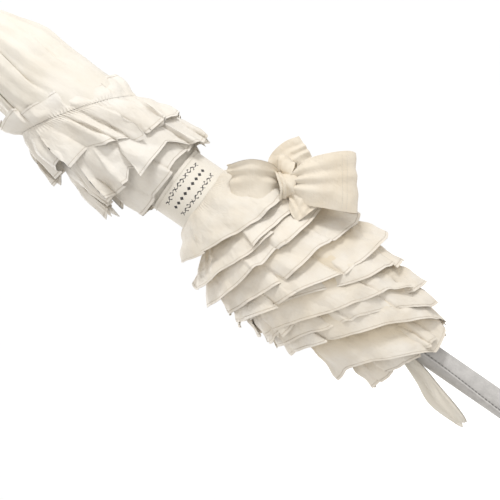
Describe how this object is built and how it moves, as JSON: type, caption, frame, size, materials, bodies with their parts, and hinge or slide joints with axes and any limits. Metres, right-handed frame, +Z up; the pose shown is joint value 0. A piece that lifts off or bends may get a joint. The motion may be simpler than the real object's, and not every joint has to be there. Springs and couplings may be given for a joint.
{
  "type": "parasol",
  "caption": "Closed ruffled parasol with a crook handle, hinged ribs and stretchers, a sliding runner, spring catches, a closure band and a bow.",
  "frame": {"origin": "middle of the exposed straight grip, on the shaft's axis", "axes": "+Z up the shaft towards the ferrule, +X towards the free end of the crook and the bow, -Y towards the front of the closure band"},
  "size_m": [0.1963, 0.156, 0.824],
  "materials": {
    "canopy_taffeta": "cream taffeta with a soft sheen",
    "flounce_taffeta": "cream taffeta, rolled hems",
    "bow_taffeta": "cream taffeta, stitched hems",
    "band_satin": "cream satin with a black printed scroll ornament",
    "ribbon_satin": "cream ribbon, sewn double",
    "grey_leather": "fine-grained silver-grey leather, stitched seam",
    "rib_steel": "bright zinc-plated steel",
    "shaft_steel": "polished tube",
    "fitting_chrome": "polished",
    "runner_plastic": "ivory moulded plastic",
    "spring_steel": "hardened strip",
    "handle_wood": "plain turned wood under the leather"
  },
  "bodies": {
    "root": {"shaft": "shaft_steel", "ferrule": "fitting_chrome", "ferrule_nut": "fitting_chrome", "crown": "fitting_chrome", "crown_wire": "spring_steel", "handle_core": "handle_wood", "handle_wrap": "grey_leather", "handle_collar": "fitting_chrome", "crook_cap": "fitting_chrome", "wrist_loop": "ribbon_satin", "top_rosette": "flounce_taffeta"},
    "runner": {"runner": "runner_plastic"},
    "top_catch": {"top_catch": "spring_steel"},
    "bottom_catch": {"bottom_catch": "spring_steel"},
    "band_tab": {"band_tab": "band_satin", "snap_cap": "fitting_chrome"},
    "rib_1": {"rib_1": "rib_steel", "rib_tip_1": "runner_plastic"},
    "stretcher_1": {"stretcher_1": "rib_steel"},
    "gore_1": {"gore_1": "canopy_taffeta", "flounces_1": "flounce_taffeta"},
    "rib_2": {"rib_2": "rib_steel", "rib_tip_2": "runner_plastic"},
    "stretcher_2": {"stretcher_2": "rib_steel"},
    "gore_2": {"gore_2": "canopy_taffeta", "flounces_2": "flounce_taffeta"},
    "rib_3": {"rib_3": "rib_steel", "rib_tip_3": "runner_plastic"},
    "stretcher_3": {"stretcher_3": "rib_steel"},
    "gore_3": {"gore_3": "canopy_taffeta", "flounces_3": "flounce_taffeta", "closure_band": "band_satin", "snap_socket": "fitting_chrome"},
    "rib_4": {"rib_4": "rib_steel", "rib_tip_4": "runner_plastic"},
    "stretcher_4": {"stretcher_4": "rib_steel"},
    "gore_4": {"gore_4": "canopy_taffeta", "flounces_4": "flounce_taffeta"},
    "rib_5": {"rib_5": "rib_steel", "rib_tip_5": "runner_plastic"},
    "stretcher_5": {"stretcher_5": "rib_steel"},
    "gore_5": {"gore_5": "canopy_taffeta", "flounces_5": "flounce_taffeta"},
    "rib_6": {"rib_6": "rib_steel", "rib_tip_6": "runner_plastic"},
    "stretcher_6": {"stretcher_6": "rib_steel"},
    "gore_6": {"gore_6": "canopy_taffeta", "flounces_6": "flounce_taffeta"},
    "rib_7": {"rib_7": "rib_steel", "rib_tip_7": "runner_plastic"},
    "stretcher_7": {"stretcher_7": "rib_steel"},
    "gore_7": {"gore_7": "canopy_taffeta", "flounces_7": "flounce_taffeta"},
    "rib_8": {"rib_8": "rib_steel", "rib_tip_8": "runner_plastic"},
    "stretcher_8": {"stretcher_8": "rib_steel"},
    "gore_8": {"gore_8": "canopy_taffeta", "flounces_8": "flounce_taffeta", "bow": "bow_taffeta"}
  },
  "joints": [
    {"name": "runner_slide", "type": "slide", "parent": "root", "child": "runner", "axis": [0, 0, 1], "range_m": [0, 0.32612], "deforming": ["closure_band"]},
    {"name": "rib_1_hinge", "type": "hinge", "parent": "root", "child": "rib_1", "pos_m": [0.009, 0, 0.65], "axis": [0, -1, 0], "range_deg": [0, 75]},
    {"name": "stretcher_1_hinge", "type": "hinge", "parent": "rib_1", "child": "stretcher_1", "pos_m": [0.009, 0, 0.43], "axis": [0, -1, 0], "range_deg": [-150, 0]},
    {"name": "gore_1_spread", "type": "hinge", "parent": "rib_1", "child": "gore_1", "pos_m": [0.009, 0.00373, 0.65], "axis": [0.7537, 0.3122, -0.5783], "range_deg": [0, 53.89]},
    {"name": "rib_2_hinge", "type": "hinge", "parent": "root", "child": "rib_2", "pos_m": [0.00636, 0.00636, 0.65], "axis": [0.7071, -0.7071, 0], "range_deg": [0, 75]},
    {"name": "stretcher_2_hinge", "type": "hinge", "parent": "rib_2", "child": "stretcher_2", "pos_m": [0.00636, 0.00636, 0.43], "axis": [0.7071, -0.7071, 0], "range_deg": [-150, 0]},
    {"name": "gore_2_spread", "type": "hinge", "parent": "rib_2", "child": "gore_2", "pos_m": [0.00373, 0.009, 0.65], "axis": [0.3122, 0.7537, -0.5783], "range_deg": [0, 53.89]},
    {"name": "rib_3_hinge", "type": "hinge", "parent": "root", "child": "rib_3", "pos_m": [0, 0.009, 0.65], "axis": [1, 0, 0], "range_deg": [0, 75]},
    {"name": "stretcher_3_hinge", "type": "hinge", "parent": "rib_3", "child": "stretcher_3", "pos_m": [0, 0.009, 0.43], "axis": [1, 0, 0], "range_deg": [-150, 0]},
    {"name": "gore_3_spread", "type": "hinge", "parent": "rib_3", "child": "gore_3", "pos_m": [-0.00373, 0.009, 0.65], "axis": [-0.3122, 0.7537, -0.5783], "range_deg": [0, 53.89]},
    {"name": "rib_4_hinge", "type": "hinge", "parent": "root", "child": "rib_4", "pos_m": [-0.00636, 0.00636, 0.65], "axis": [0.7071, 0.7071, 0], "range_deg": [0, 75]},
    {"name": "stretcher_4_hinge", "type": "hinge", "parent": "rib_4", "child": "stretcher_4", "pos_m": [-0.00636, 0.00636, 0.43], "axis": [0.7071, 0.7071, 0], "range_deg": [-150, 0]},
    {"name": "gore_4_spread", "type": "hinge", "parent": "rib_4", "child": "gore_4", "pos_m": [-0.009, 0.00373, 0.65], "axis": [-0.7537, 0.3122, -0.5783], "range_deg": [0, 53.89]},
    {"name": "rib_5_hinge", "type": "hinge", "parent": "root", "child": "rib_5", "pos_m": [-0.009, 0, 0.65], "axis": [0, 1, 0], "range_deg": [0, 75]},
    {"name": "stretcher_5_hinge", "type": "hinge", "parent": "rib_5", "child": "stretcher_5", "pos_m": [-0.009, 0, 0.43], "axis": [0, 1, 0], "range_deg": [-150, 0]},
    {"name": "gore_5_spread", "type": "hinge", "parent": "rib_5", "child": "gore_5", "pos_m": [-0.009, -0.00373, 0.65], "axis": [-0.7537, -0.3122, -0.5783], "range_deg": [0, 53.89]},
    {"name": "rib_6_hinge", "type": "hinge", "parent": "root", "child": "rib_6", "pos_m": [-0.00636, -0.00636, 0.65], "axis": [-0.7071, 0.7071, 0], "range_deg": [0, 75]},
    {"name": "stretcher_6_hinge", "type": "hinge", "parent": "rib_6", "child": "stretcher_6", "pos_m": [-0.00636, -0.00636, 0.43], "axis": [-0.7071, 0.7071, 0], "range_deg": [-150, 0]},
    {"name": "gore_6_spread", "type": "hinge", "parent": "rib_6", "child": "gore_6", "pos_m": [-0.00373, -0.009, 0.65], "axis": [-0.3122, -0.7537, -0.5783], "range_deg": [0, 53.89]},
    {"name": "rib_7_hinge", "type": "hinge", "parent": "root", "child": "rib_7", "pos_m": [0, -0.009, 0.65], "axis": [-1, 0, 0], "range_deg": [0, 75]},
    {"name": "stretcher_7_hinge", "type": "hinge", "parent": "rib_7", "child": "stretcher_7", "pos_m": [0, -0.009, 0.43], "axis": [-1, 0, 0], "range_deg": [-150, 0]},
    {"name": "gore_7_spread", "type": "hinge", "parent": "rib_7", "child": "gore_7", "pos_m": [0.00373, -0.009, 0.65], "axis": [0.3122, -0.7537, -0.5783], "range_deg": [0, 53.89]},
    {"name": "rib_8_hinge", "type": "hinge", "parent": "root", "child": "rib_8", "pos_m": [0.00636, -0.00636, 0.65], "axis": [-0.7071, -0.7071, 0], "range_deg": [0, 75]},
    {"name": "stretcher_8_hinge", "type": "hinge", "parent": "rib_8", "child": "stretcher_8", "pos_m": [0.00636, -0.00636, 0.43], "axis": [-0.7071, -0.7071, 0], "range_deg": [-150, 0]},
    {"name": "gore_8_spread", "type": "hinge", "parent": "rib_8", "child": "gore_8", "pos_m": [0.009, -0.00373, 0.65], "axis": [0.7537, -0.3122, -0.5783], "range_deg": [0, 53.89]},
    {"name": "top_catch_press", "type": "slide", "parent": "root", "child": "top_catch", "axis": [-0.9239, -0.3827, 0], "range_m": [0, 0.00125], "stiffness_N_per_m": 60},
    {"name": "bottom_catch_press", "type": "slide", "parent": "root", "child": "bottom_catch", "axis": [-0.9239, -0.3827, 0], "range_m": [0, 0.00125], "stiffness_N_per_m": 60},
    {"name": "band_tab_flap", "type": "hinge", "parent": "gore_3", "child": "band_tab", "pos_m": [-0.02446, 0.02669, 0.334], "axis": [0, 0, 1], "range_deg": [0, 110]}
  ],
  "couplings": [
    {"joint": "rib_1_hinge", "follows": "runner_slide", "rad_per_m": 4.0138},
    {"joint": "stretcher_1_hinge", "follows": "runner_slide", "rad_per_m": -8.0277},
    {"joint": "gore_1_spread", "follows": "runner_slide", "rad_per_m": 2.8839},
    {"joint": "rib_2_hinge", "follows": "runner_slide", "rad_per_m": 4.0138},
    {"joint": "stretcher_2_hinge", "follows": "runner_slide", "rad_per_m": -8.0277},
    {"joint": "gore_2_spread", "follows": "runner_slide", "rad_per_m": 2.8839},
    {"joint": "rib_3_hinge", "follows": "runner_slide", "rad_per_m": 4.0138},
    {"joint": "stretcher_3_hinge", "follows": "runner_slide", "rad_per_m": -8.0277},
    {"joint": "gore_3_spread", "follows": "runner_slide", "rad_per_m": 2.8839},
    {"joint": "rib_4_hinge", "follows": "runner_slide", "rad_per_m": 4.0138},
    {"joint": "stretcher_4_hinge", "follows": "runner_slide", "rad_per_m": -8.0277},
    {"joint": "gore_4_spread", "follows": "runner_slide", "rad_per_m": 2.8839},
    {"joint": "rib_5_hinge", "follows": "runner_slide", "rad_per_m": 4.0138},
    {"joint": "stretcher_5_hinge", "follows": "runner_slide", "rad_per_m": -8.0277},
    {"joint": "gore_5_spread", "follows": "runner_slide", "rad_per_m": 2.8839},
    {"joint": "rib_6_hinge", "follows": "runner_slide", "rad_per_m": 4.0138},
    {"joint": "stretcher_6_hinge", "follows": "runner_slide", "rad_per_m": -8.0277},
    {"joint": "gore_6_spread", "follows": "runner_slide", "rad_per_m": 2.8839},
    {"joint": "rib_7_hinge", "follows": "runner_slide", "rad_per_m": 4.0138},
    {"joint": "stretcher_7_hinge", "follows": "runner_slide", "rad_per_m": -8.0277},
    {"joint": "gore_7_spread", "follows": "runner_slide", "rad_per_m": 2.8839},
    {"joint": "rib_8_hinge", "follows": "runner_slide", "rad_per_m": 4.0138},
    {"joint": "stretcher_8_hinge", "follows": "runner_slide", "rad_per_m": -8.0277},
    {"joint": "gore_8_spread", "follows": "runner_slide", "rad_per_m": 2.8839}
  ]
}
